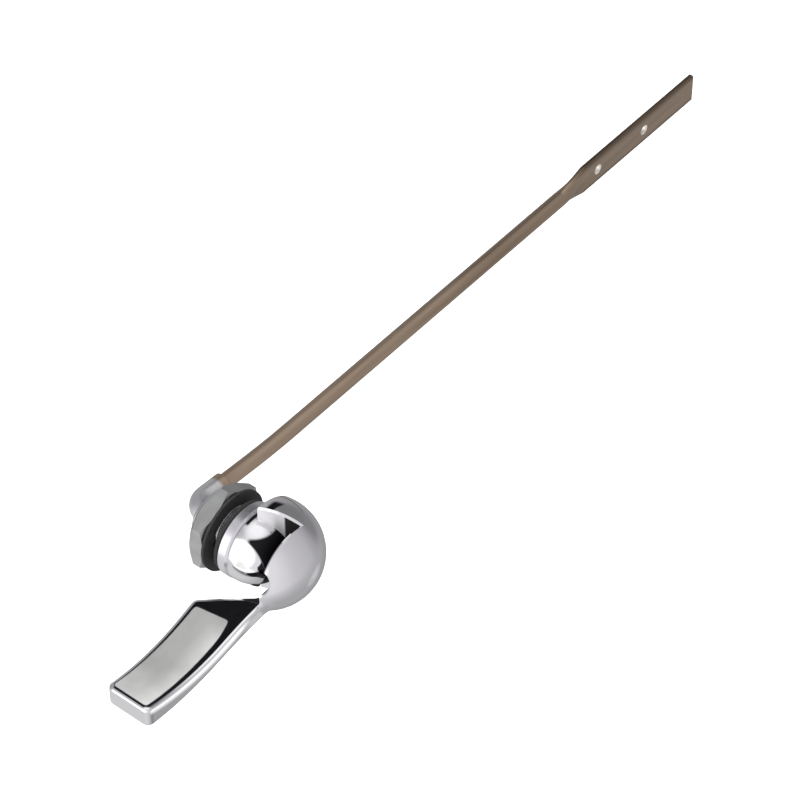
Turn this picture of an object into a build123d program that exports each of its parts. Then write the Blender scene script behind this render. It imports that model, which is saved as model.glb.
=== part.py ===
"""Front-mounted cistern lever: cast handle, bushing and nut, bent spindle, and a trip rod with a flattened end.

Millimetres. The origin is on the pivot axis, in the plane where the gasket meets the tank's outer wall.
X runs along the trip rod, Y goes into the tank, Z is up.
"""

import math
import os

from build123d import *

# Stack along the pivot axis, from the handle to the rod
gasket_t = 1.0
flange_t = 4.0
hub_clearance = 0.3
wall_space = 2.2
washer_t = 0.8
nut_t = 6.0
sleeve_past_nut = 2.1
thrust_clearance = 0.1
thrust_t = 0.7
bend_clearance = 0.05

# Handle hub
ball_d = 32.0
ball_back = 4.8
rim_step = 2.0
cap_back = 8.5
core_d = 22.0
core_set = 4.5
core_neck_d = 11.0
notch_front_x = 4.4
notch_back_x = -1.2
lip_chamfer = 0.5
scoop_r = 4.6
scoop_depth = 1.9
scoop_z = 3.2
scoop_reach = 5.0
cut_margin = 5.0

# Handle blade
blade_reach = 59.0
blade_w = 14.8
blade_root_w = 16.8
blade_front = 8.9
blade_root_z = -4.4
blade_low_z = -8.3
blade_tip_z = -5.4
blade_tip_t = 7.2
blade_mid_t = 5.0
blade_root_t = 4.8
blade_neck_w = 3.0
blade_neck_x = 11.0
blade_full_x = 21.5
blade_edge_r = 1.1
blade_tip_r = 2.2
blade_blend_r = 4.0

# Bushing, gasket, washer and nut
flange_d = 22.4
flange_chamfer = 0.8
gasket_d = 21.4
thread_d = 16.0
sleeve_flats = 14.0
sleeve_chamfer = 0.6
washer_d = 25.0
sleeve_clearance = 0.25
thread_clearance = 0.05
nut_af = 23.4
nut_turn = 33.0
nut_chamfer_deg = 28.0
nut_back_r = 10.4
nut_back_drop = 2.4

# Turn stop between the bushing and the handle
stop_d = 15.6
stop_w = 1.8
stop_h = 1.6
stop_arc = 36.0
stop_at = 110.0
stop_clearance = 0.35
stop_gap_deg = 1.0
lever_turn = 28.0

# Set screw in the handle's core
screw_d = 4.0
screw_clearance = 0.05
screw_angle = 235.0
screw_back = 4.2
screw_key_af = 2.0
screw_key_depth = 1.8
screw_inset = 0.6

# Spindle, bent behind the nut
spindle_d = 6.35
spindle_running = 0.05
spindle_socket_fit = 0.02
spindle_in_hub = 10.5
spindle_bend_r = 5.0
spindle_arm = 8.0
spindle_chamfer = 0.5
rod_bore_depth = 7.5

# Trip rod
rod_d = 4.76
rod_fit = 0.02
rod_end_gap = 0.3
rod_droop = 4.5
rod_root = 20.0
rod_sweep_r = 200.0
rod_reach = 236.0
flat_length = 57.0
flat_transition = 11.0
flat_w = 10.0
flat_t = 1.8
flat_edge_r = 0.6
flat_corner_r = 0.8
chain_hole_d = 3.2
chain_hole_end = 26.0
chain_hole_pitch = 24.0

# Positions along Y that follow from the stack
flange_y = -(gasket_t + flange_t)
hub_y = flange_y - hub_clearance
ball_y = hub_y - ball_back
rim_y = hub_y - rim_step
cap_y = ball_y - cap_back
core_y = ball_y + core_set
blade_y = ball_y - blade_front
nut_y = wall_space + washer_t
sleeve_y = nut_y + nut_t + sleeve_past_nut
thrust_y = sleeve_y + thrust_clearance
bend_y = thrust_y + thrust_t + bend_clearance
rod_y = bend_y + spindle_bend_r
spindle_tail_y = hub_y - spindle_in_hub

ball_r = ball_d / 2
core_r = core_d / 2
neck_r = core_neck_d / 2
rod_r = rod_d / 2
spindle_r = spindle_d / 2
thread_r = thread_d / 2


def facing_y(y):
    """Sketch plane across the pivot axis, looking into the tank, with X as its first axis."""
    return Plane(origin=(0, y, 0), x_dir=(1, 0, 0), z_dir=(0, 1, 0))


def ring(outer_r, inner_r, y0, y1):
    """Ring about the pivot axis between two stations."""
    body = extrude(facing_y(y0) * Circle(outer_r), y1 - y0)
    return body - extrude(facing_y(y0) * Circle(inner_r), y1 - y0)


def block(x0, x1, y0, y1, z0, z1):
    """Box between corner values."""
    size = Box(x1 - x0, y1 - y0, z1 - z0)
    return Pos((x0 + x1) / 2, (y0 + y1) / 2, (z0 + z1) / 2) * size


def arc_slot(mean_r, width, start_deg, end_deg, y0, y1):
    """Curved block about the pivot axis; angles run from X towards Z."""
    a0 = math.radians(start_deg)
    a1 = math.radians(end_deg)
    am = (a0 + a1) / 2
    r0 = mean_r - width / 2
    r1 = mean_r + width / 2

    def at(r, a):
        return (r * math.cos(a), y0, r * math.sin(a))

    inner = ThreePointArc(at(r0, a0), at(r0, am), at(r0, a1))
    outer = ThreePointArc(at(r1, a0), at(r1, am), at(r1, a1))
    first = Line(at(r0, a0), at(r1, a0))
    last = Line(at(r0, a1), at(r1, a1))
    return extrude(make_face(inner + last + outer + first), y1 - y0, dir=(0, 1, 0))


def softened(shape, edges, radius):
    """Shape with its edges rounded, or with half that radius where the full one does not fit."""
    try:
        return fillet(edges, radius)
    except ValueError:
        return fillet(edges, radius / 2)


# Blade: a side profile carried along Y, trimmed to its outline from above
root_x = -ball_r / 3
end_x = -blade_reach - 1.5
dish = ThreePointArc(
    (end_x, blade_tip_z),
    (-blade_reach * 0.65, blade_low_z),
    (-blade_reach * 0.45, blade_low_z * 0.8),
)
crown = TangentArc(dish @ 1, (root_x, blade_root_z), tangent=dish % 1)
belly = ThreePointArc(
    (end_x, blade_tip_z - blade_tip_t),
    (-blade_reach * 0.80, blade_low_z - blade_mid_t - 0.4),
    (-blade_reach * 0.52, blade_low_z - blade_mid_t * 0.75),
)
throat = TangentArc(belly @ 1, (root_x, blade_root_z - blade_root_t), tangent=belly % 1)
tip = Line(dish @ 0, belly @ 0)
root = Line(crown @ 1, throat @ 1)
side = Plane(origin=(0, blade_y, 0), x_dir=(1, 0, 0), z_dir=(0, -1, 0))
strip = extrude(side * make_face(dish + crown + root + throat + belly + tip), -blade_root_w)
outline = make_face(
    Polyline(
        (root_x, blade_y),
        (-blade_reach, blade_y),
        (-blade_reach, blade_y + blade_w),
        (-blade_full_x, blade_y + blade_root_w),
        (-blade_neck_x, blade_y + blade_neck_w),
        (root_x, blade_y + blade_neck_w),
        close=True,
    )
)
for corner in (
    (-blade_reach, blade_y),
    (-blade_reach, blade_y + blade_w),
    (-blade_full_x, blade_y + blade_root_w),
    (-blade_neck_x, blade_y + blade_neck_w),
):
    vertex = outline.vertices().sort_by_distance((corner[0], corner[1], 0))[0]
    outline = fillet(vertex, blade_tip_r)
blade = strip & extrude(Pos(0, 0, -blade_reach) * outline, 2 * blade_reach)
long_edges = blade.edges().filter_by(lambda e: e.center().X < root_x - 0.5)
long_edges = long_edges.filter_by(Axis.Z, reverse=True)
long_edges = long_edges.filter_by(lambda e: abs((e % 0.5).Y) < 0.99 or e.center().X < -blade_reach + 1)
blade = softened(blade, long_edges, blade_edge_r)

# Ball blended into the blade's root
far = ball_r + 1
ball_center = Vector(0, ball_y, 0)


def on_ball(edge):
    """True for an edge that lies on the ball's surface."""
    gaps = [abs((edge.position_at(t) - ball_center).length - ball_r) for t in (0.1, 0.5, 0.9)]
    return max(gaps) < 0.001


ball = Pos(0, ball_y, 0) * Rot(90, 0, 0) * Sphere(ball_r)
ball -= block(-far, far, rim_y, ball_y + far, -far, far)
joined = ball + blade
seam = joined.edges().filter_by(on_ball)
seam = seam.filter_by(lambda e: e.center().X < -3 and e.center().Z < 0 and e.center().Y < rim_y - 0.5)
joined = softened(joined, seam, blade_blend_r)

# Open side of the hub: a notch takes the ball away behind its front cap, up to a slanted wall,
# and the blade, cut off with it, is put back whole at the end
past_tip = -blade_reach - cut_margin
past_hub = hub_y + cut_margin
notch = make_face(
    Polyline(
        (past_tip, cap_y),
        (notch_front_x, cap_y),
        (notch_back_x, hub_y),
        (notch_back_x, past_hub),
        (past_tip, past_hub),
        close=True,
    )
)
opened = joined - extrude(Pos(0, 0, -far) * notch, 2 * far)
opened -= block(past_tip, -ball_r, blade_y - cut_margin, past_hub, -far, far)
scoop = Pos(-ball_r + scoop_reach / 2, cap_y - scoop_depth + scoop_r, scoop_z) * Rot(0, 90, 0)
opened -= scoop * Cylinder(scoop_r, scoop_reach + 4)
lip = opened.edges().filter_by(on_ball)
lip = lip.filter_by(lambda e: e.center().Z > 1 and e.center().Y < rim_y - 1)
opened = chamfer(lip, lip_chamfer)

# Ball-shaped core on a neck, turned about the pivot axis
core_back_r = math.sqrt(core_r ** 2 - (hub_y - core_y) ** 2)
core_front_y = core_y - math.sqrt(core_r ** 2 - neck_r ** 2)
neck_y = cap_y - 1.0
neck = Polyline((0, neck_y), (neck_r, neck_y), (neck_r, core_front_y))
bulge = ThreePointArc((neck_r, core_front_y), (core_r, core_y), (core_back_r, hub_y))
axis_line = Polyline((core_back_r, hub_y), (0, hub_y), (0, neck_y))
core = revolve(make_face(neck + bulge + axis_line), Axis.Y)

# Spindle socket, turn-stop groove and set screw hole in the core
socket_r = spindle_r + spindle_socket_fit
socket = extrude(facing_y(spindle_tail_y - 0.2) * Circle(socket_r), spindle_in_hub + 1)
stop_start = stop_at - stop_arc / 2
stop_end = stop_at + stop_arc / 2
stop_y = flange_y - stop_h
groove = arc_slot(
    stop_d / 2,
    stop_w + 2 * stop_clearance,
    stop_start - lever_turn - stop_gap_deg,
    stop_end + stop_gap_deg,
    stop_y - stop_clearance,
    hub_y + 1,
)
screw_plane = Plane(
    origin=(0, hub_y - screw_back, 0),
    x_dir=(0, 1, 0),
    z_dir=(math.cos(math.radians(screw_angle)), 0, math.sin(math.radians(screw_angle))),
)
screw_hole = extrude(screw_plane * Circle(screw_d / 2 + screw_clearance), core_r + 1)
handle = opened + core + blade - socket - groove - screw_hole

# Set screw with a hex socket, seated on the spindle
screw_start = socket_r
screw_end = core_r - screw_inset - 0.4
set_screw = extrude(screw_plane.offset(screw_start) * Circle(screw_d / 2), screw_end - screw_start)
key = screw_plane.offset(screw_end - screw_key_depth)
set_screw -= extrude(key * RegularPolygon(screw_key_af / 2, 6, major_radius=False), screw_key_depth)

# Bushing: flange, stop lug and a threaded sleeve with two flats
bore_r = spindle_r + spindle_running
flange = extrude(facing_y(flange_y) * Circle(flange_d / 2), flange_t)
flange = chamfer(flange.edges().filter_by(GeomType.CIRCLE), flange_chamfer)
sleeve = extrude(facing_y(-gasket_t) * Circle(thread_r), sleeve_y + gasket_t)
sleeve = chamfer(sleeve.edges().group_by(Axis.Y)[-1], sleeve_chamfer)
half_flat = sleeve_flats / 2
sleeve &= block(-half_flat, half_flat, -gasket_t - 1, sleeve_y + 1, -thread_r - 1, thread_r + 1)
lug = arc_slot(stop_d / 2, stop_w, stop_start, stop_end, stop_y, flange_y + flange_t / 2)
bore = extrude(facing_y(stop_y - 1) * Circle(bore_r), sleeve_y - stop_y + 2)
bushing = flange + sleeve + lug - bore

# Gasket and wall washer
gasket = ring(gasket_d / 2, thread_r + sleeve_clearance, -gasket_t, 0)
wall_washer = ring(washer_d / 2, thread_r + sleeve_clearance, wall_space, wall_space + washer_t)

# Hex nut, lightly chamfered in front and domed towards the rod
nut_plane = facing_y(nut_y)
nut = extrude(nut_plane * RegularPolygon(nut_af / 2, 6, major_radius=False, rotation=nut_turn), nut_t)
corner_r = nut_af / 2 / math.cos(math.pi / 6)
slope = math.tan(math.radians(nut_chamfer_deg))
drop = (corner_r - nut_af / 2 * 0.96) * slope
face_r = nut_af / 2 * 0.96
barrel = make_face(
    Polyline(
        (0, nut_y),
        (face_r, nut_y),
        (corner_r, nut_y + drop),
        (corner_r, nut_y + nut_t - nut_back_drop),
        (nut_back_r, nut_y + nut_t),
        (0, nut_y + nut_t),
        close=True,
    )
)
nut &= revolve(barrel, Axis.Y)
nut -= extrude(nut_plane * Circle(thread_r + thread_clearance), nut_t)

# Thrust washer at the sleeve's inner end
thrust_washer = ring(thread_r - 1.8, bore_r + 0.1, thrust_y, thrust_y + thrust_t)

# Spindle: straight shank in the hub and bushing, a tight bend, and an arm that drops slightly
droop = math.radians(rod_droop)
along = Vector(math.cos(droop), 0, -math.sin(droop))
inward = Vector(0, 1, 0)
tail = Vector(0, spindle_tail_y, 0)
bend_start = Vector(0, bend_y, 0)
bend_center = bend_start + along * spindle_bend_r
bend_mid = bend_center + (inward - along) * (spindle_bend_r / math.sqrt(2))
bend_end = bend_center + inward * spindle_bend_r
arm_end = bend_end + along * spindle_arm
shank = Line(tail, bend_start) + ThreePointArc(bend_start, bend_mid, bend_end) + Line(bend_end, arm_end)
spindle = sweep(facing_y(spindle_tail_y) * Circle(spindle_r), path=shank)
spindle = chamfer(spindle.edges().filter_by(GeomType.CIRCLE).sort_by(Axis.X)[-1], spindle_chamfer)
arm_plane = Plane(origin=tuple(arm_end), z_dir=tuple(along))
spindle -= extrude(arm_plane * Circle(rod_r + rod_fit), -rod_bore_depth)

# Trip rod: held in the spindle's arm, then a slow sweep up into a long level run
rod_start = arm_end - along * (rod_bore_depth - rod_end_gap)
root_end = bend_end + along * rod_root
sweep_center = root_end + Vector(math.sin(droop), 0, math.cos(droop)) * rod_sweep_r
sweep_mid = sweep_center - Vector(math.sin(droop / 2), 0, math.cos(droop / 2)) * rod_sweep_r
run_start = sweep_center - Vector(0, 0, rod_sweep_r)
flat_x = rod_reach - flat_length
run_end = Vector(flat_x - flat_transition, rod_y, run_start.Z)
path = Line(rod_start, root_end) + ThreePointArc(root_end, sweep_mid, run_start) + Line(run_start, run_end)
rod_plane = Plane(origin=tuple(rod_start), z_dir=tuple(along))
trip_rod = sweep(rod_plane * Circle(rod_r), path=path)

# Flattened end with its two chain holes
across = Plane(origin=tuple(run_end), x_dir=(0, 1, 0), z_dir=(1, 0, 0))
flat_plane = across.offset(flat_transition)
flat_face = RectangleRounded(flat_t, flat_w, flat_edge_r)
shoulder = loft([across * Circle(rod_r), flat_plane * flat_face])
paddle = extrude(flat_plane * flat_face, flat_length)
trip_rod = trip_rod + shoulder + paddle
for distance in (chain_hole_end, chain_hole_end + chain_hole_pitch):
    at = facing_y(rod_y - flat_w)
    hole = extrude(at * Pos(rod_reach - distance, -run_start.Z) * Circle(chain_hole_d / 2), 2 * flat_w)
    trip_rod -= hole

nodes = {
    "handle": handle,
    "handle_set_screw": set_screw,
    "spindle": spindle,
    "mounting_bushing": bushing,
    "flange_gasket": gasket,
    "wall_washer": wall_washer,
    "mounting_nut": nut,
    "thrust_washer": thrust_washer,
    "trip_rod": trip_rod,
}
os.makedirs("parts", exist_ok=True)
for name, solid in nodes.items():
    export_step(solid, f"parts/{name}.step")
    print(name, round(solid.volume, 1), len(solid.solids()), solid.is_valid)
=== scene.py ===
# %% [markdown]
# # A cistern lever in a light tent
#
# The object is the flush lever of a toilet tank: a chrome handle outside, a bushing and nut that clamp the
# tank wall, a bent spindle, and a long brass rod inside. Its solids are already packed as a frame, so this
# lesson gives them real finishes, cuts the screw thread, and sets up the studio and the camera.

# %% Load the frame
import math

import bmesh
import bpy
from mathutils import Matrix, Vector


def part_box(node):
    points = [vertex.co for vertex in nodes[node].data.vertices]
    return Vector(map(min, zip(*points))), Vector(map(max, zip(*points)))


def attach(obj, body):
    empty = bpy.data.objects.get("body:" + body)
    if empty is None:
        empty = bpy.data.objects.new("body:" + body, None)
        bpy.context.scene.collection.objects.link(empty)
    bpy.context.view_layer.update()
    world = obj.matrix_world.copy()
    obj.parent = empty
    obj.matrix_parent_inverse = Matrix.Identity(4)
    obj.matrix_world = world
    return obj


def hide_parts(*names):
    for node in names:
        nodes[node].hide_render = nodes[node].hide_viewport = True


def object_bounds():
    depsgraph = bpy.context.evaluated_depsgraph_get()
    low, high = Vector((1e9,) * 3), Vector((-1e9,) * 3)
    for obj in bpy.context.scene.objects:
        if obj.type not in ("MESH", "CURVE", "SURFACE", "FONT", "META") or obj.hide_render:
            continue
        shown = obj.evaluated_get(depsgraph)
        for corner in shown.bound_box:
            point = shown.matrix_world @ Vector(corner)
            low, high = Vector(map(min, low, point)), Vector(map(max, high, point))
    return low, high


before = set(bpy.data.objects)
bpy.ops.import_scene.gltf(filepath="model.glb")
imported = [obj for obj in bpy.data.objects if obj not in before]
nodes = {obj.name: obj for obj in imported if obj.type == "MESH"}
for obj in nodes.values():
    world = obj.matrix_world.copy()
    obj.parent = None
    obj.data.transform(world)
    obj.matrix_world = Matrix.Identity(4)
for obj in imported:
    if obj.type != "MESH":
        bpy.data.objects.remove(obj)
cad_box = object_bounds()
mm = 0.001
print("nodes:", sorted(nodes))

# %% [markdown]
# ## A start for every finish
#
# Each finish is a small node tree on one Principled shader. Values that are the same all over go straight on
# the shader's sockets. Only what varies over the surface is wired, and every pattern reads Object
# coordinates, so it stays on the piece when the lever turns. A few helpers keep the wiring readable: noise,
# range and ramp each hand back the socket that the next step needs.

# %% Helpers for the finishes


def open_finish(finish):
    """A finish's node tree, its Principled shader and its Object coordinates."""
    tree = finish.node_tree
    place = tree.nodes["Texture Coordinate"].outputs["Object"]
    return tree, tree.nodes["Principled BSDF"], place


def start_finish(name, color, metallic, roughness):
    """New material with even values on its Principled shader."""
    finish = bpy.data.materials.new(name)
    finish.use_nodes = True
    finish.node_tree.nodes.new("ShaderNodeTexCoord")
    shader = open_finish(finish)[1]
    shader.inputs["Base Color"].default_value = (*color, 1.0)
    shader.inputs["Metallic"].default_value = metallic
    shader.inputs["Roughness"].default_value = roughness
    return finish


def add_noise(tree, place, scale, detail, stretch=(1.0, 1.0, 1.0)):
    """Noise in the piece's own coordinates, stretched along its axes."""
    mapping = tree.nodes.new("ShaderNodeMapping")
    mapping.inputs["Scale"].default_value = stretch
    noise = tree.nodes.new("ShaderNodeTexNoise")
    noise.inputs["Scale"].default_value = scale
    noise.inputs["Detail"].default_value = detail
    tree.links.new(place, mapping.inputs["Vector"])
    tree.links.new(mapping.outputs["Vector"], noise.inputs["Vector"])
    return noise.outputs["Fac"]


def add_range(tree, value, low, high, to_low=0.0, to_high=1.0):
    """Map a value from one range to another, held at the ends."""
    change = tree.nodes.new("ShaderNodeMapRange")
    change.inputs["From Min"].default_value = low
    change.inputs["From Max"].default_value = high
    change.inputs["To Min"].default_value = to_low
    change.inputs["To Max"].default_value = to_high
    tree.links.new(value, change.inputs["Value"])
    return change.outputs["Result"]


def add_ramp(tree, value, stops):
    """Colour ramp from (position, colour) stops."""
    ramp = tree.nodes.new("ShaderNodeValToRGB")
    band = ramp.color_ramp
    while len(band.elements) < len(stops):
        band.elements.new(0.5)
    for element, (position, color) in zip(band.elements, stops):
        element.position = position
        element.color = (*color, 1.0)
    tree.links.new(value, ramp.inputs["Fac"])
    return ramp.outputs["Color"]


def add_bump(tree, shader, height, strength, distance):
    """Fine relief on the shader's normal."""
    bump = tree.nodes.new("ShaderNodeBump")
    bump.inputs["Strength"].default_value = strength
    bump.inputs["Distance"].default_value = distance
    tree.links.new(height, bump.inputs["Height"])
    tree.links.new(bump.outputs["Normal"], shader.inputs["Normal"])


def dress(piece, finish):
    """Give a piece one finish."""
    piece.data.materials.clear()
    piece.data.materials.append(finish)


print("finish helpers ready")

# %% [markdown]
# ## Chrome on the handle
#
# Bright chrome is almost a mirror. Real castings are polished by hand, so the plate has faint waves and a few
# soft patches. A low noise moves the roughness a little, and a weaker one bends the reflections.

# %% Chrome
# Nearly all values of a noise lie between these two
noise_low = 0.3
noise_high = 0.7


def chrome_plate(name, color, roughness):
    """Polished plate with soft patches and faint waves."""
    finish = start_finish(name, color, 1.0, roughness)
    tree, shader, place = open_finish(finish)
    cloud = add_noise(tree, place, scale=60.0, detail=3.0)
    rough = add_range(tree, cloud, noise_low, noise_high, roughness * 0.7, roughness * 1.5)
    tree.links.new(rough, shader.inputs["Roughness"])
    wave = add_noise(tree, place, scale=90.0, detail=1.0)
    add_bump(tree, shader, wave, strength=0.05, distance=0.1 * mm)
    return finish


handle_chrome = chrome_plate("handle_chrome", (0.80, 0.79, 0.81), 0.06)
bushing_chrome = chrome_plate("bushing_chrome", (0.80, 0.79, 0.82), 0.30)
print("chrome:", handle_chrome.name, bushing_chrome.name)

# %% [markdown]
# ## Masks on a finish
#
# One casting has several finishes: polished, brushed and bare. They could be separate materials on parts of
# the mesh, but their borders then follow the triangles. A mask that is worked out from Object coordinates
# gives a clean line anywhere, and it blends what a socket of the shader already has towards something else.

# %% Helpers for the masks


def add_axes(tree, vector):
    """X, Y and Z of a vector socket."""
    axes = tree.nodes.new("ShaderNodeSeparateXYZ")
    tree.links.new(vector, axes.inputs["Vector"])
    return axes.outputs["X"], axes.outputs["Y"], axes.outputs["Z"]


def add_math(tree, operation, *operands):
    """One Math node; each operand is a socket or a number."""
    node = tree.nodes.new("ShaderNodeMath")
    node.operation = operation
    for socket, operand in zip(node.inputs, operands):
        if isinstance(operand, (int, float)):
            socket.default_value = operand
        else:
            tree.links.new(operand, socket)
    return node.outputs["Value"]


def add_vector_math(tree, operation, vector, fixed):
    """Number from a vector socket and a fixed vector, such as their distance."""
    node = tree.nodes.new("ShaderNodeVectorMath")
    node.operation = operation
    tree.links.new(vector, node.inputs[0])
    node.inputs[1].default_value = fixed
    return node.outputs["Value"]


def mix_socket(tree, shader, socket, amount, value):
    """Blend what a shader socket has now towards a value or another socket."""
    blend = tree.nodes.new("ShaderNodeMix")
    target = shader.inputs[socket]
    color = target.type == "RGBA"
    blend.data_type = "RGBA" if color else "FLOAT"
    # A Mix node holds sockets for every type of data, so they are picked by their place in its lists
    first, second, result = (6, 7, 2) if color else (2, 3, 0)
    if target.is_linked:
        tree.links.new(target.links[0].from_socket, blend.inputs[first])
    else:
        blend.inputs[first].default_value = target.default_value
    if isinstance(value, bpy.types.NodeSocket):
        tree.links.new(value, blend.inputs[second])
    else:
        blend.inputs[second].default_value = value
    tree.links.new(amount, blend.inputs["Factor"])
    tree.links.new(blend.outputs[result], target)


print("mask helpers ready")

# %% [markdown]
# ## Outline of the finger pad
#
# The top of the blade is brushed where the finger presses, and a polished border is left round it. The pad's
# four sides are not parallel, and the front one turns near the root. Each side gives a distance, and the
# smallest of the four is the distance from the outline. A smooth minimum rounds the corners as it goes.

# %% Pad outline
pad_tip = -57.4 * mm
pad_root_front = -21.8 * mm
pad_root_rear = -23.2 * mm
pad_front_tip = -17.3 * mm
pad_front_mid = -15.9 * mm
pad_front_root = -14.8 * mm
pad_turn = -30.0 * mm
pad_rear_tip = -5.5 * mm
pad_rear_root = -4.2 * mm
pad_floor = -9.6 * mm
pad_edge = 0.2 * mm
pad_corner = 1.6 * mm


def add_pad_mask(tree, x, y, z):
    """Mask of the pad, and the distance from its front side."""
    root = add_range(tree, y, pad_front_root, pad_rear_root, pad_root_front, pad_root_rear)
    straight = add_range(tree, x, pad_tip, pad_root_front, pad_front_tip, pad_front_mid)
    turned = add_range(tree, x, pad_turn, pad_root_front, pad_front_tip, pad_front_root)
    front = add_math(tree, "SMOOTH_MAX", straight, turned, pad_corner)
    rear = add_range(tree, x, pad_tip, pad_root_rear, pad_rear_tip, pad_rear_root)
    from_tip = add_math(tree, "SUBTRACT", x, pad_tip)
    from_root = add_math(tree, "SUBTRACT", root, x)
    from_front = add_math(tree, "SUBTRACT", y, front)
    from_rear = add_math(tree, "SUBTRACT", rear, y)
    inset = from_tip
    for side in (from_root, from_front, from_rear):
        inset = add_math(tree, "SMOOTH_MIN", inset, side, pad_corner)
    flat = add_range(tree, inset, -pad_edge, pad_edge)
    top = add_range(tree, z, pad_floor - pad_edge, pad_floor + pad_edge)
    return add_math(tree, "MULTIPLY", flat, top), from_front


print("pad length:", round((pad_root_front - pad_tip) / mm, 1))

# %% [markdown]
# ## Satin and painted sheen on the finger pad
#
# Inside the outline the plate is rougher, greyer and faintly clouded, with fine scratches along the blade.
# A painted sheen grows towards the tip and the front side: it takes some of the metal away, so the plate
# scatters more light as paint does and looks lighter there.

# %% Satin pad
satin_dark = (0.70, 0.705, 0.685)
satin_light = (0.80, 0.805, 0.78)
rim_band = 5.5 * mm
rim_sheen = 0.20
root_share = 0.1


def add_pad(finish):
    """Brushed pad on the blade's top, inside a polished border."""
    tree, shader, place = open_finish(finish)
    x, y, z = add_axes(tree, place)
    mask, from_front = add_pad_mask(tree, x, y, z)
    scratches = add_noise(tree, place, scale=1400.0, detail=4.0, stretch=(0.12, 1.0, 1.0))
    brushed = add_range(tree, scratches, noise_low, noise_high, 0.41, 0.45)
    mix_socket(tree, shader, "Roughness", mask, brushed)
    cloud = add_noise(tree, place, scale=160.0, detail=2.0)
    satin = add_ramp(tree, cloud, [(noise_low, satin_dark), (noise_high, satin_light)])
    mix_socket(tree, shader, "Base Color", mask, satin)
    # Painted sheen: less metal, so the pad is lighter towards the tip and the front side
    along = add_ramp(
        tree,
        add_range(tree, x, pad_tip, pad_root_front),
        [(0.0, (0.34,) * 3), (0.35, (0.10,) * 3), (1.0, (0.0,) * 3)],
    )
    rim = add_range(tree, from_front, 0.0, rim_band, rim_sheen, 0.0)
    rim = add_math(tree, "MULTIPLY", rim, add_range(tree, x, pad_turn, pad_root_front, 1.0, root_share))
    grain = add_range(tree, scratches, noise_low, noise_high, 0.94, 1.06)
    sheen = add_math(tree, "MULTIPLY", add_math(tree, "ADD", along, rim), grain)
    shine = add_math(tree, "SUBTRACT", 1.0, sheen)
    mix_socket(tree, shader, "Metallic", mask, shine)


add_pad(handle_chrome)
print("satin pad on", handle_chrome.name)

# %% [markdown]
# ## Painted highlight and shade on the blade's front side
#
# The upper half of the front side is painted white and less metallic as a painted highlight, and the lower
# half gets a darker plate as painted shade. The top of the blade is a shallow curve, so the height is
# measured down from a parabola that follows it, and two ramps over that height set the metal and the painted
# tone.

# %% Front side
side_front = -18.8 * mm
side_edge = 0.1 * mm
side_root = -17.0 * mm
side_fade = 4 * mm
dish_x = -40.0 * mm
dish_z = -8.3 * mm
dish_rise = 8.0
highlight_start = 1.4 * mm
highlight_end = 2.9 * mm
highlight_tone = (0.96, 0.955, 0.96)
shaded_tone = (0.52, 0.515, 0.525)
highlight_metal = 0.3


def add_front_highlight(finish):
    """Painted highlight on the upper half and painted shade on the lower half of the blade's front side."""
    tree, shader, place = open_finish(finish)
    x, y, z = add_axes(tree, place)
    across = add_math(tree, "POWER", add_math(tree, "SUBTRACT", x, dish_x), 2.0)
    crest = add_math(tree, "MULTIPLY_ADD", across, dish_rise, dish_z)
    down = add_math(tree, "SUBTRACT", crest, z)
    on_side = add_range(tree, y, side_front + side_edge, side_front - side_edge)
    on_blade = add_range(tree, x, side_root, side_root - side_fade)
    mask = add_math(tree, "MULTIPLY", on_side, on_blade)
    lower = add_range(tree, down, highlight_start, highlight_end)
    # Painted highlight at the top, fading to painted shade lower down
    tone = add_ramp(tree, lower, [(0.0, highlight_tone), (1.0, shaded_tone)])
    mix_socket(tree, shader, "Base Color", mask, tone)
    mix_socket(tree, shader, "Metallic", mask, add_range(tree, lower, 0.0, 1.0, highlight_metal, 1.0))


add_front_highlight(handle_chrome)
print("front side on", handle_chrome.name)

# %% [markdown]
# ## Painted shade inside the casting
#
# Behind the front cap the plating is painted near black and rougher, as painted shade in the hollow. Two
# distances give the mask: a point is inside where it lies under the ball's skin and clear of the round core.
# The slanted wall of the notch is open to the wheel, but only its coarse side fits in, so the wall is satin.

# %% Painted shade inside
ball_center = (0.0, -10.1 * mm, 0.0)
ball_skin = 15.4 * mm
core_center = (0.0, -5.6 * mm, 0.0)
core_skin = 11.15 * mm
wall_point = Vector((4.4, -18.6, 0.0)) * mm
wall_facing = Vector((-13.3, -5.6, 0.0)).normalized()
wall_gap = 0.3 * mm
wall_near = wall_facing.dot(wall_point) + wall_gap
skin_edge = 0.05 * mm
inside_shade_color = (0.03, 0.03, 0.032, 1.0)
wall_satin = (0.72, 0.71, 0.73, 1.0)


def add_inside_shade(finish):
    """Painted shade, dark and rough, behind the cap and satin on the slanted wall; returns the masks of ball
    and wall.
    """
    tree, shader, place = open_finish(finish)
    from_ball = add_vector_math(tree, "DISTANCE", place, ball_center)
    from_core = add_vector_math(tree, "DISTANCE", place, core_center)
    from_wall = add_vector_math(tree, "DOT_PRODUCT", place, wall_facing)
    under = add_range(tree, from_ball, ball_skin, ball_skin - skin_edge)
    clear = add_range(tree, from_core, core_skin, core_skin + skin_edge)
    off_wall = add_range(tree, from_wall, wall_near, wall_near + skin_edge)
    within = add_math(tree, "MULTIPLY", under, clear)
    inside_shade = add_math(tree, "MULTIPLY", within, off_wall)
    # Painted shade: the hollow behind the cap is coloured near black
    mix_socket(tree, shader, "Base Color", inside_shade, inside_shade_color)
    mix_socket(tree, shader, "Roughness", inside_shade, 0.5)
    on_wall = add_math(tree, "MULTIPLY", within, add_math(tree, "SUBTRACT", 1.0, off_wall))
    mix_socket(tree, shader, "Base Color", on_wall, wall_satin)
    mix_socket(tree, shader, "Roughness", on_wall, 0.35)
    mix_socket(tree, shader, "Metallic", on_wall, 0.6)
    return under, on_wall


under_ball, on_notch_wall = add_inside_shade(handle_chrome)
print("dull inside on", handle_chrome.name)
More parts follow.
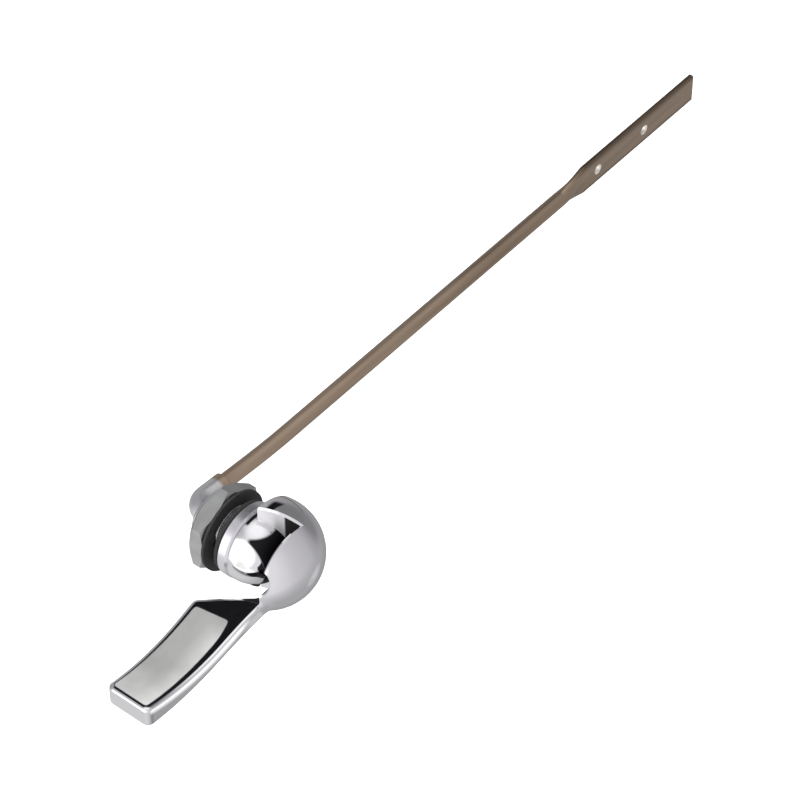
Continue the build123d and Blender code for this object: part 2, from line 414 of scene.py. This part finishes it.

# %% [markdown]
# ## Painted shade in the corner of the notch
#
# The corner where wall, core and cap meet is painted black as painted shade, and so is the front end of the
# slanted wall. The corner is the smallest of three distances, rounded as the pad's outline is, and the masks
# of the last step keep it off the wall and off the ball's skin.

# %% Painted shade in the corner
corner_left = -6.4 * mm
corner_top = 8.9 * mm
corner_rear = -8.4 * mm
corner_round = 1.2 * mm
corner_edge = 0.2 * mm
wall_shade_from = -14.4 * mm
corner_shade_color = (0.02, 0.019, 0.021, 1.0)


def add_corner_shade(finish, under, on_wall):
    """Painted shade, black, in the deep corner and on the front end of the slanted wall."""
    tree, shader, place = open_finish(finish)
    x, y, z = add_axes(tree, place)
    inset = add_math(tree, "SUBTRACT", x, corner_left)
    from_top = add_math(tree, "SUBTRACT", corner_top, z)
    from_rear = add_math(tree, "SUBTRACT", corner_rear, y)
    for side in (from_top, from_rear):
        inset = add_math(tree, "SMOOTH_MIN", inset, side, corner_round)
    shaded = add_range(tree, inset, -corner_edge, corner_edge)
    shaded = add_math(tree, "MULTIPLY", shaded, add_math(tree, "SUBTRACT", 1.0, on_wall))
    end = add_range(tree, y, wall_shade_from + corner_edge, wall_shade_from - corner_edge)
    end = add_math(tree, "MULTIPLY", end, on_wall)
    corner_shade = add_math(tree, "MULTIPLY", add_math(tree, "MAXIMUM", shaded, end), under)
    # Painted shade: the deep corner and the wall's front end are coloured black
    mix_socket(tree, shader, "Base Color", corner_shade, corner_shade_color)
    mix_socket(tree, shader, "Roughness", corner_shade, 0.6)


add_corner_shade(handle_chrome, under_ball, on_notch_wall)
print("black corner on", handle_chrome.name)

# %% [markdown]
# ## Plated steel on the nut, spindle and screw
#
# These pieces are turned or drawn, then plated without polishing. Their colour is a dull grey with faint
# clouding, and fine tool lines run round them.

# %% Plated steel


def plated_steel(name, dark, light, roughness):
    """Unpolished plate with clouding and fine tool lines round the pivot's axis."""
    finish = start_finish(name, light, 1.0, roughness)
    tree, shader, place = open_finish(finish)
    cloud = add_noise(tree, place, scale=180.0, detail=4.0)
    tint = add_ramp(tree, cloud, [(noise_low, dark), (noise_high, light)])
    tree.links.new(tint, shader.inputs["Base Color"])
    lines = add_noise(tree, place, scale=700.0, detail=2.0, stretch=(0.3, 3.0, 0.3))
    rough = add_range(tree, lines, noise_low, noise_high, roughness * 0.8, roughness * 1.25)
    tree.links.new(rough, shader.inputs["Roughness"])
    add_bump(tree, shader, lines, strength=0.15, distance=0.05 * mm)
    return finish


nut_steel = plated_steel("nut_steel", (0.45, 0.455, 0.445), (0.56, 0.565, 0.555), 0.36)
spindle_steel = plated_steel("spindle_steel", (0.70, 0.70, 0.71), (0.81, 0.81, 0.82), 0.42)
screw_steel = plated_steel("screw_steel", (0.10, 0.10, 0.11), (0.17, 0.17, 0.18), 0.45)
print("steel:", nut_steel.name, spindle_steel.name, screw_steel.name)

# %% [markdown]
# ## Rubber and plastic washers
#
# The gasket and the wall washer are black rubber with a fine grain. The thrust washer is a dark moulded
# plastic, a little smoother.

# %% Rubber and plastic


def moulded(name, dark, light, roughness, grain):
    """Rubber or plastic with a fine grain in its colour, gloss and relief."""
    finish = start_finish(name, dark, 0.0, roughness)
    tree, shader, place = open_finish(finish)
    cloud = add_noise(tree, place, grain, detail=5.0)
    tint = add_ramp(tree, cloud, [(0.35, dark), (0.75, light)])
    tree.links.new(tint, shader.inputs["Base Color"])
    rough = add_range(tree, cloud, noise_low, noise_high, roughness * 0.85, roughness * 1.15)
    tree.links.new(rough, shader.inputs["Roughness"])
    add_bump(tree, shader, cloud, strength=0.3, distance=0.05 * mm)
    return finish


gasket_rubber = moulded("gasket_rubber", (0.012, 0.012, 0.013), (0.03, 0.03, 0.03), 0.7, 1500.0)
washer_plastic = moulded("washer_plastic", (0.05, 0.05, 0.053), (0.08, 0.08, 0.083), 0.5, 900.0)
print("moulded:", gasket_rubber.name, washer_plastic.name)

# %% [markdown]
# ## Brass on the trip rod
#
# The rod is drawn brass that has gone brown and dull. Long streaks run with the drawing direction, and the
# sheen is broad, not bright. One stretched noise gives the streaks in colour, gloss and relief.

# %% Brass
brass_dark = (0.36, 0.27, 0.195)
brass_middle = (0.50, 0.385, 0.285)
brass_light = (0.59, 0.47, 0.355)


def drawn_brass(name):
    """Dull brown brass with streaks along the rod."""
    finish = start_finish(name, brass_middle, 1.0, 0.42)
    tree, shader, place = open_finish(finish)
    streaks = add_noise(tree, place, scale=500.0, detail=4.0, stretch=(0.04, 1.0, 1.0))
    tint = add_ramp(tree, streaks, [(0.25, brass_dark), (0.55, brass_middle), (0.8, brass_light)])
    tree.links.new(tint, shader.inputs["Base Color"])
    rough = add_range(tree, streaks, noise_low, noise_high, 0.36, 0.5)
    tree.links.new(rough, shader.inputs["Roughness"])
    add_bump(tree, shader, streaks, strength=0.2, distance=0.05 * mm)
    return finish


rod_brass = drawn_brass("rod_brass")
print("brass:", rod_brass.name)

# %% [markdown]
# ## Tarnish and wear on the trip rod
#
# Tarnish could be painted by hand, but two ramps do it: it grows from the spindle towards the free end, and
# gathers on the sheared edges of the flattened end. The two holes and their rims get a painted highlight, so
# a distance from each hole's axis paints pale metal over the tarnish there.

# %% Tarnish
rod_low, rod_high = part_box("trip_rod")
flat_half_width = 5.0 * mm
flat_middle = rod_low.z + flat_half_width
flat_start = rod_high.x - 66 * mm
flat_fade = 2 * mm
tarnish = (0.09, 0.063, 0.043, 1.0)
chain_holes = (rod_high.x - 26 * mm, rod_high.x - 50 * mm)
hole_highlight_r = 1.74 * mm
hole_highlight_edge = 0.1 * mm
hole_highlight_color = (0.96, 0.93, 0.88, 1.0)


def add_tarnish(finish):
    """Tarnish along the rod and on its flat's edges, and a painted highlight in and round the chain holes."""
    tree, shader, place = open_finish(finish)
    x, _, z = add_axes(tree, place)
    along = add_ramp(
        tree,
        add_range(tree, x, rod_low.x, rod_high.x),
        [(0.05, (0.0,) * 3), (0.35, (0.12,) * 3), (0.62, (0.28,) * 3), (1.0, (0.25,) * 3)],
    )
    off_middle = add_math(tree, "ABSOLUTE", add_math(tree, "SUBTRACT", z, flat_middle))
    edges = add_range(tree, off_middle, 0.62 * flat_half_width, 0.97 * flat_half_width, 0.0, 0.5)
    on_flat = add_range(tree, x, flat_start - flat_fade, flat_start + flat_fade)
    worn = add_math(tree, "ADD", along, add_math(tree, "MULTIPLY", edges, on_flat))
    mix_socket(tree, shader, "Base Color", worn, tarnish)
    for hole_x in chain_holes:
        beside = add_math(tree, "POWER", add_math(tree, "SUBTRACT", x, hole_x), 2.0)
        away = add_math(tree, "SQRT", add_math(tree, "MULTIPLY_ADD", off_middle, off_middle, beside))
        hole_highlight = add_range(tree, away, hole_highlight_r, hole_highlight_r - hole_highlight_edge)
        # Painted highlight: pale metal in and round each chain hole
        mix_socket(tree, shader, "Base Color", hole_highlight, hole_highlight_color)


add_tarnish(rod_brass)
print("chain holes at x =", [round(hole_x / mm, 1) for hole_x in chain_holes])

# %% [markdown]
# ## Brown end of the spindle's arm
#
# The plating stops short of the arm's end, where the rod was pressed in, so the last few millimetres are as
# brown as the rod. It is one more mask along X on the spindle's finish, with a soft limit.

# %% Arm's end
bare_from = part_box("spindle")[1].x - 3.2 * mm
bare_fade = 0.5 * mm


def add_bare_end(finish):
    """Bare brown metal past a station on the spindle's arm."""
    tree, shader, place = open_finish(finish)
    x = add_axes(tree, place)[0]
    bare = add_range(tree, x, bare_from - bare_fade, bare_from + bare_fade)
    mix_socket(tree, shader, "Base Color", bare, (*brass_middle, 1.0))


add_bare_end(spindle_steel)
print("bare from x =", round(bare_from / mm, 2))

# %% [markdown]
# ## Dress the solids
#
# Each solid of the frame gets one finish, as each real piece has one plating or one material. A table of
# names is easier to read and to change than nine calls, and a piece that is missing from it shows at once.

# %% Put the finishes on the solids
finish_of = {
    "handle": handle_chrome,
    "handle_set_screw": screw_steel,
    "spindle": spindle_steel,
    "mounting_bushing": bushing_chrome,
    "flange_gasket": gasket_rubber,
    "wall_washer": gasket_rubber,
    "mounting_nut": nut_steel,
    "thrust_washer": washer_plastic,
    "trip_rod": rod_brass,
}
for node_name, finish in finish_of.items():
    dress(nodes[node_name], finish)
print("dressed", len(finish_of), "solids")

# %% [markdown]
# ## The threaded bushing
#
# The solid under it has a plain sleeve. The real one is screw-cut, so the sleeve is made again with bmesh: a
# zigzag is spun one turn while it climbs one pitch, which gives a true helix. The turn's end meets its start
# one thread higher, so doubles are merged in place of the spin's own merge. Two cuts then trim its ends, two
# more make the flats that stop it turning in the tank's hole, and bridged loops join flange, sleeve and bore.

# %% Cut the thread
bushing_low, bushing_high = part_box("mounting_bushing")
sleeve_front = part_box("flange_gasket")[0].y
sleeve_end = bushing_high.y
thread_r = 8.0 * mm
thread_depth = 0.75 * mm
thread_pitch = 1.5 * mm
thread_steps = 72
# Share of the pitch, and share of the depth, from crest to root
thread_form = ((0.0, 0.0), (0.12, 0.0), (0.48, 1.0), (0.64, 1.0))
merge_dist = 0.001 * mm
pivot = Vector((0, 1, 0))

bushing = bmesh.new()
profile = []
y = sleeve_front - 2 * thread_pitch
while y < sleeve_end + 2 * thread_pitch:
    for share, depth in thread_form:
        profile.append(bushing.verts.new((thread_r - depth * thread_depth, y + share * thread_pitch, 0)))
    y += thread_pitch
zigzag = [bushing.edges.new(pair) for pair in zip(profile, profile[1:])]
bmesh.ops.spin(
    bushing,
    geom=profile + zigzag,
    cent=(0, 0, 0),
    axis=pivot,
    dvec=(0, thread_pitch / thread_steps, 0),
    angle=2 * math.pi,
    steps=thread_steps,
)
bmesh.ops.remove_doubles(bushing, verts=bushing.verts, dist=merge_dist)
print("thread faces:", len(bushing.faces))

# %% [markdown]
# ## Ends and flats of the thread
#
# A die leaves the thread running, and the sleeve is then cut to length and chamfered so that the nut starts
# easily. The flats are milled off both sides. A boolean with boxes could do it, but a plane cut keeps the
# helix clean and hands back the cut's edges, from which one operator fills the flat.

# %% Trim the ends and the flats
flat_half = 7.0 * mm
end_chamfer = 0.6 * mm
cut_dist = 0.0001 * mm
level_dist = 0.01 * mm


def trim(point, away):
    """Cut the bushing along a plane, drop the far side and return the cut's edges."""
    cut = bmesh.ops.bisect_plane(
        bushing,
        geom=bushing.verts[:] + bushing.edges[:] + bushing.faces[:],
        dist=cut_dist,
        plane_co=point,
        plane_no=away,
        clear_outer=True,
    )
    return [part for part in cut["geom_cut"] if isinstance(part, bmesh.types.BMEdge)]


def at_level(vert, level):
    """Whether a vertex lies at one station along the pivot."""
    return abs(vert.co.y - level) < level_dist


trim((0, sleeve_front, 0), -pivot)
trim((0, sleeve_end - end_chamfer, 0), pivot)
rim_edges = [e for e in bushing.edges if e.is_boundary and e.verts[0].co.y > 0]
cone = bmesh.ops.extrude_edge_only(bushing, edges=rim_edges)["geom"]
for vert in (part for part in cone if isinstance(part, bmesh.types.BMVert)):
    radius = math.hypot(vert.co.x, vert.co.z)
    shrink = min(radius, thread_r - end_chamfer) / radius
    vert.co = (vert.co.x * shrink, sleeve_end, vert.co.z * shrink)
for side in (1, -1):
    cut_edges = trim((side * flat_half, 0, 0), (side, 0, 0))
    cut_verts = {v for e in cut_edges for v in e.verts}
    ends = [v for v in cut_verts if sum(v in e.verts for e in cut_edges) == 1]
    for level in (sleeve_front, sleeve_end):
        cut_edges.append(bushing.edges.new([v for v in ends if at_level(v, level)]))
    bmesh.ops.contextual_create(bushing, geom=cut_edges)
print("sleeve faces:", len(bushing.faces))

# %% [markdown]
# ## Flange and bore
#
# The flange is a round plate with broken edges, and the bore lets the spindle through. Both are circles about
# one axis, so a row of hoops is laid out in order and each is bridged to the next, from the sleeve's foot,
# over the flange and through the bore to the sleeve's lip.

# %% Join the flange and the bore
lug_height = 1.6 * mm
flange_front = bushing_low.y + lug_height
flange_r = bushing_high.x
flange_edge = 0.8 * mm
bore_r = 3.225 * mm
hoop_segments = 96


def open_loop(level):
    """Boundary edges of the bushing at one station."""
    rim = [e for e in bushing.edges if e.is_boundary]
    return [e for e in rim if all(at_level(v, level) for v in e.verts)]


def add_hoop(radius, level):
    """Circle of edges about the pivot."""
    turn = Matrix.Translation((0, level, 0)) @ Matrix.Rotation(math.pi / 2, 4, "X")
    made = bmesh.ops.create_circle(
        bushing, cap_ends=False, radius=radius, segments=hoop_segments, matrix=turn
    )
    return list({e for v in made["verts"] for e in v.link_edges})


sleeve_foot = open_loop(sleeve_front)
sleeve_lip = open_loop(sleeve_end)
hoops = [
    add_hoop(flange_r - flange_edge, sleeve_front),
    add_hoop(flange_r, sleeve_front - flange_edge),
    add_hoop(flange_r, flange_front + flange_edge),
    add_hoop(flange_r - flange_edge, flange_front),
    add_hoop(bore_r, flange_front),
    add_hoop(bore_r, sleeve_end),
]
rings = [sleeve_foot] + hoops + [sleeve_lip]
for first, second in zip(rings, rings[1:]):
    bmesh.ops.bridge_loops(bushing, edges=first + second)
print("bushing faces:", len(bushing.faces))

# %% [markdown]
# ## Stop lug
#
# A short curved lug on the flange's front runs in a groove of the handle and ends its turn. It is one small
# face spun through a few degrees. It sinks a little into the flange, as a casting's lug grows out of its
# plate, so no seam shows.

# %% Add the stop lug
lug_inner = 6.9 * mm
lug_outer = 8.7 * mm
lug_root = flange_front + flange_edge
lug_start = math.radians(92.0)
lug_sweep = math.radians(36.0)
lug_steps = 10
corners = [
    bushing.verts.new((radius * math.cos(lug_start), y, radius * math.sin(lug_start)))
    for radius, y in (
        (lug_inner, bushing_low.y),
        (lug_outer, bushing_low.y),
        (lug_outer, lug_root),
        (lug_inner, lug_root),
    )
]
lug_face = bushing.faces.new(corners)
bmesh.ops.spin(
    bushing,
    geom=[lug_face],
    cent=(0, 0, 0),
    axis=-pivot,
    angle=lug_sweep,
    steps=lug_steps,
    use_duplicate=False,
)
print("faces with the lug:", len(bushing.faces))

# %% [markdown]
# ## Finish the bushing
#
# Spinning can leave faces turned inwards, so the normals are worked out once more. Chrome needs smooth
# shading, and edges sharper than a limit stay crisp. The new piece rides with the mount and stands for the
# plain solid.

# %% Finish the bushing
sharp_angle = math.radians(25)
bmesh.ops.recalc_face_normals(bushing, faces=bushing.faces)
bushing_mesh = bpy.data.meshes.new("threaded_bushing")
bushing.to_mesh(bushing_mesh)
bushing.free()
bushing_mesh.shade_smooth()
bushing_mesh.set_sharp_from_angle(angle=sharp_angle)
threaded_bushing = bpy.data.objects.new("threaded_bushing", bushing_mesh)
bpy.context.collection.objects.link(threaded_bushing)
dress(threaded_bushing, bushing_chrome)
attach(threaded_bushing, "mount")
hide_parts("mounting_bushing")
print("bushing size:", [round(d / mm, 2) for d in threaded_bushing.dimensions])

# %% [markdown]
# ## Floor
#
# A plain pale sheet lies well below the lever. The product shot has no cast shadow, so the sheet is far
# enough away for the soft light to wash it out.

# %% Floor
floor_drop = 160 * mm
floor_size = 6.0
floor_mesh = bpy.data.meshes.new("studio_floor")
shape = bmesh.new()
bmesh.ops.create_grid(shape, x_segments=1, y_segments=1, size=floor_size / 2)
bmesh.ops.translate(shape, verts=shape.verts, vec=(0, 0, cad_box[0].z - floor_drop))
shape.to_mesh(floor_mesh)
shape.free()
floor = bpy.data.objects.new("studio_floor", floor_mesh)
bpy.context.collection.objects.link(floor)
dress(floor, start_finish("floor_paint", (0.93, 0.93, 0.93), 0.0, 0.9))
floor.visible_glossy = False
print("floor at", round(floor.data.vertices[0].co.z, 3))

# %% [markdown]
# ## Light tent
#
# Chrome shows what stands round it, so the tent is painted by direction. Its grey darkens from left to right,
# with a large white panel at the left, a white top, and shade to the right, behind and below. Real panels
# would do the same, but need care to stay out of the picture. The floor is left out of the reflections, as in
# a cut-out product shot.

# %% Tent
scene = bpy.context.scene
world = bpy.data.worlds.new("light_tent")
scene.world = world
world.use_nodes = True
sky = world.node_tree
background = sky.nodes["Background"]
background.inputs["Strength"].default_value = 1.0
direction = sky.nodes.new("ShaderNodeTexCoord").outputs["Generated"]
to_right, to_rear, to_top = add_axes(sky, direction)
tent_stops = [
    (0.20, (0.90, 0.89, 0.91)),
    (0.50, (0.68, 0.67, 0.69)),
    (0.82, (0.55, 0.545, 0.56)),
    (0.92, (0.42, 0.415, 0.43)),
    (0.98, (0.26, 0.255, 0.265)),
]
tent_color = add_ramp(sky, add_range(sky, to_right, -1.0, 1.0), tent_stops)
sky.links.new(tent_color, background.inputs["Color"])

# Round patches: direction, inner and outer angle of the soft rim in degrees, colour
tent_patches = (
    ((0.0, 0.9, 0.35), 20, 70, (0.38, 0.38, 0.40)),
    ((0.88, 0.12, 0.45), 12, 28, (0.22, 0.22, 0.225)),
    ((0.35, -0.1, -0.93), 25, 60, (0.45, 0.45, 0.46)),
    ((0.6, 0.5, -0.62), 20, 50, (0.34, 0.34, 0.345)),
    ((0.55, -0.445, -0.707), 4, 13, (0.66, 0.66, 0.67)),
    ((-0.55, 0.45, -0.7), 20, 50, (0.74, 0.74, 0.74)),
    ((0.05, -0.1, 1.0), 14, 38, (1.15, 1.15, 1.15)),
    ((-0.97, 0.0, 0.16), 36, 44, (1.6, 1.6, 1.6)),
)
for toward, inner_deg, outer_deg, color in tent_patches:
    aim = add_vector_math(sky, "DOT_PRODUCT", direction, Vector(toward).normalized())
    outer, inner = (math.cos(math.radians(angle)) for angle in (outer_deg, inner_deg))
    mix_socket(sky, background, "Color", add_range(sky, aim, outer, inner), (*color, 1.0))
print("tent patches:", len(tent_patches))

# %% [markdown]
# ## Black flag and backdrop
#
# Photographers hang black cloth beside chrome to give it outlines. Here a strip runs from overhead to the
# right, a little behind the object, and draws the black border of the pad. Four soft limits bound it. The
# camera itself sees a plain pale backdrop in place of the tent.

# %% Flag and backdrop
flag_black = (0.01, 0.01, 0.012, 1.0)
backdrop_pale = (0.78, 0.78, 0.785, 1.0)
flag_limits = (
    (to_rear, 0.34, 0.39),
    (to_rear, 0.57, 0.51),
    (to_right, -0.06, 0.05),
    (to_top, 0.12, 0.3),
)
flag = 1.0
for axis, start, stop in flag_limits:
    flag = add_math(sky, "MULTIPLY", flag, add_range(sky, axis, start, stop))
mix_socket(sky, background, "Color", flag, flag_black)
rays = sky.nodes.new("ShaderNodeLightPath")
mix_socket(sky, background, "Color", rays.outputs["Is Camera Ray"], backdrop_pale)
print("tent nodes:", len(sky.nodes))

# %% [markdown]
# ## Ceiling lamp
#
# The tent alone leaves rubber, plastic and floor a little flat. One large soft lamp overhead lifts them and
# washes out the floor. Its sharp outline would show in the chrome, so glossy rays don't see it.

# %% Lamp
lamp_place = Vector((0.0, 0.1, 1.4))
lamp_aim = Vector((0.05, 0.0, 0.0))
lamp_data = bpy.data.lights.new("ceiling_lamp", "AREA")
lamp_data.shape = "SQUARE"
lamp_data.size = 2.2
lamp_data.energy = 38.0
lamp = bpy.data.objects.new("ceiling_lamp", lamp_data)
bpy.context.collection.objects.link(lamp)
lamp.location = lamp_place
lamp.rotation_euler = (lamp_aim - lamp_place).to_track_quat("-Z", "Y").to_euler()
lamp.visible_glossy = False
lamp.visible_camera = False
print("lamp:", lamp.name, "at", tuple(round(c, 2) for c in lamp.location))

# %% [markdown]
# ## Camera
#
# The picture looks down at 45 degrees from the left front, with a long lens. Its middle falls beside the rod,
# so the aim is a point in the air there.

# %% Camera
view_azimuth = math.radians(-51.0)
view_elevation = math.radians(45.0)
view_distance = 900 * mm
view_aim = Vector((47.8, -17.7, 26.0)) * mm
level = math.cos(view_elevation)
back = Vector((math.sin(view_azimuth) * level, -math.cos(view_azimuth) * level, math.sin(view_elevation)))
camera_data = bpy.data.cameras.new("photo_camera")
camera_data.lens = 148.3
camera_data.sensor_width = 36.0
camera_data.clip_start = 0.01
camera_data.clip_end = 20.0
camera = bpy.data.objects.new("photo_camera", camera_data)
bpy.context.collection.objects.link(camera)
camera.location = view_aim + back * view_distance
camera.rotation_euler = (-back).to_track_quat("-Z", "Y").to_euler()
scene.camera = camera
scene.view_settings.view_transform = "Standard"
print("camera at", tuple(round(c, 3) for c in camera.location))
